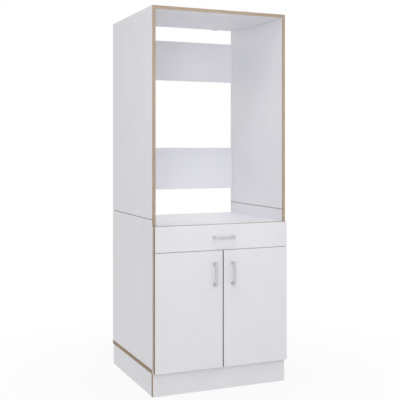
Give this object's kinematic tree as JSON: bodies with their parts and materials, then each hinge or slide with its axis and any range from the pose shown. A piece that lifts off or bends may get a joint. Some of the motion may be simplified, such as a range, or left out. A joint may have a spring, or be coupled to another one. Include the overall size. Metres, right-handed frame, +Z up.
{
  "type": "over-washer cabinet",
  "caption": "Tall white cabinet with an open appliance bay braced by back rails, above a closed base with a drawer, hinged doors, bar handles and wood-tone edge strips.",
  "frame": {"origin": "on the floor, in the middle of the outline that includes the handles and the wall brackets", "axes": "+X to the right seen from the front, +Y to the back and the wall, +Z up"},
  "size_m": [0.68, 0.673, 1.8],
  "materials": {
    "white_board": "satin white melamine facing on chipboard",
    "edge_strip": "wood-tone edge strip",
    "white_sheet": "white lacquered hardboard",
    "matt_chrome": "matt chrome plating",
    "zinc_steel": "bright zinc plating",
    "white_steel": "white epoxy coating",
    "nylon": "moulded nylon",
    "grey_plastic": "moulded plastic",
    "beech": "fluted beech",
    "soft_bumper": "clear soft plastic"
  },
  "bodies": {
    "carcass": {"plinth_front": "white_board", "plinth_side_left": "white_board", "plinth_side_right": "white_board", "plinth_back": "white_board", "base_panel": "white_board", "lower_side_left": "white_board", "lower_side_right": "white_board", "worktop": "white_board", "cross_rail": "white_board", "shelf": "white_board", "upper_side_left": "white_board", "upper_side_right": "white_board", "top_panel": "white_board", "upper_back_rail": "white_board", "lower_back_rail": "white_board", "base_edge_bands": "edge_strip", "frame_edge_bands": "edge_strip", "base_back_sheet": "white_sheet", "shelf_pins": "zinc_steel", "cam_locks": "zinc_steel", "cam_bolts": "zinc_steel", "base_screws": "zinc_steel", "corner_screws": "zinc_steel", "runner_screws": "zinc_steel", "hinge_plate_screws": "zinc_steel", "hinge_plates": "zinc_steel", "hinge_arms": "zinc_steel", "wall_brackets": "zinc_steel", "bracket_screws": "zinc_steel", "cabinet_runner_left": "white_steel", "cabinet_runner_right": "white_steel", "lap_screws": "white_steel", "corner_blocks": "grey_plastic", "dowels": "beech", "front_bumpers": "soft_bumper"},
    "drawer": {"drawer_front": "white_board", "drawer_side_left": "white_board", "drawer_side_right": "white_board", "drawer_back": "white_board", "drawer_edge_bands": "edge_strip", "drawer_bottom": "white_sheet", "drawer_handle": "matt_chrome", "drawer_screws": "zinc_steel", "drawer_runner_left": "white_steel", "drawer_runner_right": "white_steel", "drawer_dowels": "beech"},
    "left_door": {"left_door": "white_board", "left_door_edge_bands": "edge_strip", "left_door_handle": "matt_chrome", "left_hinge_cups": "zinc_steel", "left_hinge_pins": "zinc_steel", "left_door_screws": "zinc_steel"},
    "right_door": {"right_door": "white_board", "right_door_edge_bands": "edge_strip", "right_door_handle": "matt_chrome", "right_hinge_cups": "zinc_steel", "right_hinge_pins": "zinc_steel", "right_door_screws": "zinc_steel"},
    "cabinet_rollers": {"cabinet_rollers": "nylon"},
    "drawer_rollers": {"drawer_rollers": "nylon"}
  },
  "joints": [
    {"name": "left_door_swing", "type": "hinge", "parent": "carcass", "child": "left_door", "pos_m": [-0.3285, -0.2885, 0.3255], "axis": [0, 0, -1], "range_deg": [0, 95]},
    {"name": "right_door_swing", "type": "hinge", "parent": "carcass", "child": "right_door", "pos_m": [0.3285, -0.2885, 0.3255], "axis": [0, 0, 1], "range_deg": [0, 95]},
    {"name": "drawer_slide", "type": "slide", "parent": "carcass", "child": "drawer", "axis": [0, -1, 0], "range_m": [0, 0.38]},
    {"name": "cabinet_roller_spin", "type": "hinge", "parent": "carcass", "child": "cabinet_rollers", "pos_m": [0, -0.2615, 0.6736], "axis": [1, 0, 0], "range_deg": [0, 2904]},
    {"name": "drawer_roller_spin", "type": "hinge", "parent": "drawer", "child": "drawer_rollers", "pos_m": [0, 0.2055, 0.6718], "axis": [1, 0, 0], "range_deg": [0, 2904]}
  ],
  "couplings": [
    {"joint": "cabinet_roller_spin", "follows": "drawer_slide", "rad_per_m": 133.33},
    {"joint": "drawer_roller_spin", "follows": "drawer_slide", "rad_per_m": 133.33}
  ]
}
